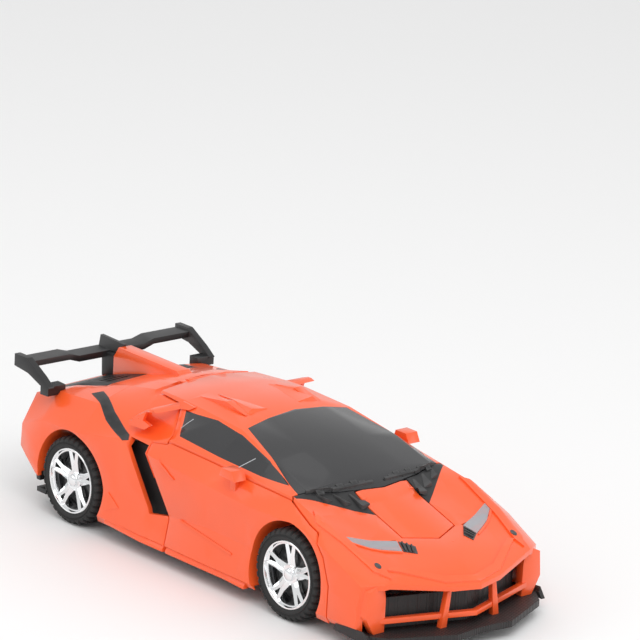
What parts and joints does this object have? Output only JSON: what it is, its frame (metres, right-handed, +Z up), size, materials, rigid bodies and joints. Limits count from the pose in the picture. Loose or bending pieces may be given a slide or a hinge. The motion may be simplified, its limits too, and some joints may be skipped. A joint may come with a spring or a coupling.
{
  "type": "transforming robot car",
  "caption": "Toy wedge-shaped car that turns into a standing robot: hinged figure under the bonnet, swinging roof, sliding wheel arms, flip-up head and geared rear wheels.",
  "frame": {"origin": "middle of the bounding box, on the ground under the car", "axes": "-Y towards the nose, +Y towards the tail, +X to the left side of the car, +Z up"},
  "size_m": [0.096, 0.236, 0.0636],
  "materials": {
    "orange_body": "gloss moulded orange",
    "black_plastic": "satin moulded black",
    "dark_screen": "dark satin glazing",
    "tyre_rubber": "matt rubber",
    "chrome_rim": "bright plated plastic",
    "copper_armour": "metallic orange paint",
    "silver_trim": "silver paint",
    "amber_lens": "clear amber",
    "lamp_lens": "clear grey lens",
    "led_lens": "clear blue lens",
    "helmet_black": "gloss black",
    "gear_plastic": "natural nylon",
    "motor_steel": "plain steel",
    "board_green": "solder mask",
    "cell_jacket": "printed sleeve, plain"
  },
  "bodies": {
    "base": {"chassis": "black_plastic", "front_panel": "black_plastic", "side_cheeks": "black_plastic", "front_lamp": "amber_lens", "front_trim": "silver_trim", "rear_body": "orange_body", "rear_deck": "black_plastic", "rear_wing": "black_plastic", "tail_panel": "black_plastic", "battery_door": "black_plastic", "battery_cells": "cell_jacket", "gearbox_plates": "gear_plastic", "drive_motors": "motor_steel", "transform_motor": "motor_steel", "lift_cradle": "black_plastic", "circuit_board": "board_green", "underglow_lamps": "led_lens", "base_screws": "motor_steel"},
    "power_switch": {"power_switch": "black_plastic"},
    "front_roller": {"front_roller": "black_plastic"},
    "transform_gear": {"transform_gear": "gear_plastic"},
    "transform_motor_pinion": {"transform_motor_pinion": "gear_plastic"},
    "figure": {"torso_frame": "black_plastic", "hinge_shaft": "motor_steel", "figure_gear": "gear_plastic", "chest_plate": "copper_armour", "hip_belt": "copper_armour", "figure_silver": "silver_trim", "shin_armour": "copper_armour"},
    "bonnet": {"bonnet": "orange_body", "cowl": "black_plastic", "splitter": "black_plastic", "headlamps": "lamp_lens", "carriage": "black_plastic"},
    "flap": {"bonnet_flap": "orange_body"},
    "head": {"head_helmet": "helmet_black", "head_mask": "silver_trim"},
    "neck": {"neck_slide": "black_plastic"},
    "roof": {"roof_shell": "orange_body", "windscreen": "dark_screen", "side_windows": "dark_screen", "roof_bracket": "black_plastic"},
    "right_arm": {"right_arm_panel": "orange_body", "right_arm_bars": "black_plastic"},
    "left_arm": {"left_arm_panel": "orange_body", "left_arm_bars": "black_plastic"},
    "right_front_wheel": {"right_front_tyre": "tyre_rubber", "right_front_rim": "chrome_rim"},
    "left_front_wheel": {"left_front_tyre": "tyre_rubber", "left_front_rim": "chrome_rim"},
    "right_rear_wheel": {"right_rear_tyre": "tyre_rubber", "right_rear_rim": "chrome_rim", "right_axle_gear": "gear_plastic"},
    "left_rear_wheel": {"left_rear_tyre": "tyre_rubber", "left_rear_rim": "chrome_rim", "left_axle_gear": "gear_plastic"},
    "right_compound_gear": {"right_compound_gear": "gear_plastic"},
    "left_compound_gear": {"left_compound_gear": "gear_plastic"},
    "right_motor_pinion": {"right_motor_pinion": "gear_plastic"},
    "left_motor_pinion": {"left_motor_pinion": "gear_plastic"}
  },
  "joints": [
    {"name": "transform", "type": "hinge", "parent": "base", "child": "figure", "pos_m": [0, 0.01, 0.046], "axis": [-1, 0, 0], "range_deg": [0, 108.08]},
    {"name": "bonnet_level", "type": "hinge", "parent": "figure", "child": "bonnet", "pos_m": [0, -0.088, 0.014], "axis": [1, 0, 0], "range_deg": [0, 108.09]},
    {"name": "roof_swing", "type": "hinge", "parent": "base", "child": "roof", "pos_m": [0, 0.0492, 0.0605], "axis": [-1, 0, 0], "range_deg": [0, 100.01]},
    {"name": "right_arm_slide", "type": "slide", "parent": "bonnet", "child": "right_arm", "axis": [-1, 0, 0], "range_m": [0, 0.042]},
    {"name": "left_arm_slide", "type": "slide", "parent": "bonnet", "child": "left_arm", "axis": [1, 0, 0], "range_m": [0, 0.042]},
    {"name": "head_rise", "type": "slide", "parent": "bonnet", "child": "head", "axis": [0, 0, 1], "range_m": [0, 0.027]},
    {"name": "neck_rise", "type": "slide", "parent": "bonnet", "child": "neck", "axis": [0, 0, 1], "range_m": [0, 0.0135]},
    {"name": "flap_open", "type": "hinge", "parent": "bonnet", "child": "flap", "pos_m": [0, -0.0598, 0.0394], "axis": [-1, 0, 0], "range_deg": [0, 98.01]},
    {"name": "transform_gear_spin", "type": "hinge", "parent": "base", "child": "transform_gear", "pos_m": [0, 0.02358, 0.04261], "axis": [-1, 0, 0], "range_deg": [-324.26, 0]},
    {"name": "transform_motor_spin", "type": "hinge", "parent": "base", "child": "transform_motor_pinion", "pos_m": [0, 0.03758, 0.04261], "axis": [-1, 0, 0], "range_deg": [0, 972.76]},
    {"name": "right_front_wheel_spin", "type": "hinge", "parent": "right_arm", "child": "right_front_wheel", "pos_m": [-0.0395, -0.056, 0.018], "axis": [1, 0, 0], "continuous": true},
    {"name": "left_front_wheel_spin", "type": "hinge", "parent": "left_arm", "child": "left_front_wheel", "pos_m": [0.0395, -0.056, 0.018], "axis": [1, 0, 0], "continuous": true},
    {"name": "right_rear_wheel_spin", "type": "hinge", "parent": "base", "child": "right_rear_wheel", "pos_m": [-0.0395, 0.076, 0.018], "axis": [1, 0, 0], "continuous": true},
    {"name": "left_rear_wheel_spin", "type": "hinge", "parent": "base", "child": "left_rear_wheel", "pos_m": [0.0395, 0.076, 0.018], "axis": [1, 0, 0], "continuous": true},
    {"name": "right_compound_gear_spin", "type": "hinge", "parent": "base", "child": "right_compound_gear", "pos_m": [-0.022, 0.06388, 0.025], "axis": [1, 0, 0], "continuous": true},
    {"name": "left_compound_gear_spin", "type": "hinge", "parent": "base", "child": "left_compound_gear", "pos_m": [0.022, 0.06388, 0.025], "axis": [1, 0, 0], "continuous": true},
    {"name": "right_motor_spin", "type": "hinge", "parent": "base", "child": "right_motor_pinion", "pos_m": [-0.022, 0.05035, 0.02138], "axis": [1, 0, 0], "continuous": true},
    {"name": "left_motor_spin", "type": "hinge", "parent": "base", "child": "left_motor_pinion", "pos_m": [0.022, 0.05035, 0.02138], "axis": [1, 0, 0], "continuous": true},
    {"name": "front_roller_spin", "type": "hinge", "parent": "base", "child": "front_roller", "pos_m": [0, -0.0048, 0.004], "axis": [1, 0, 0], "continuous": true},
    {"name": "power_switch_slide", "type": "slide", "parent": "base", "child": "power_switch", "axis": [1, 0, 0], "range_m": [0, 0.003]}
  ],
  "couplings": [
    {"joint": "bonnet_level", "follows": "transform", "ratio": 1},
    {"joint": "roof_swing", "follows": "transform", "ratio": 0.92521},
    {"joint": "right_arm_slide", "follows": "transform", "m_per_rad": 0.022264},
    {"joint": "left_arm_slide", "follows": "transform", "m_per_rad": 0.022264},
    {"joint": "head_rise", "follows": "transform", "m_per_rad": 0.014313},
    {"joint": "neck_rise", "follows": "transform", "m_per_rad": 0.007156},
    {"joint": "flap_open", "follows": "transform", "ratio": 0.90671},
    {"joint": "transform_gear_spin", "follows": "transform", "ratio": -3},
    {"joint": "transform_motor_spin", "follows": "transform", "ratio": 9},
    {"joint": "right_compound_gear_spin", "follows": "right_rear_wheel_spin", "ratio": -3},
    {"joint": "left_compound_gear_spin", "follows": "left_rear_wheel_spin", "ratio": -3},
    {"joint": "right_motor_spin", "follows": "right_rear_wheel_spin", "ratio": 9},
    {"joint": "left_motor_spin", "follows": "left_rear_wheel_spin", "ratio": 9}
  ]
}
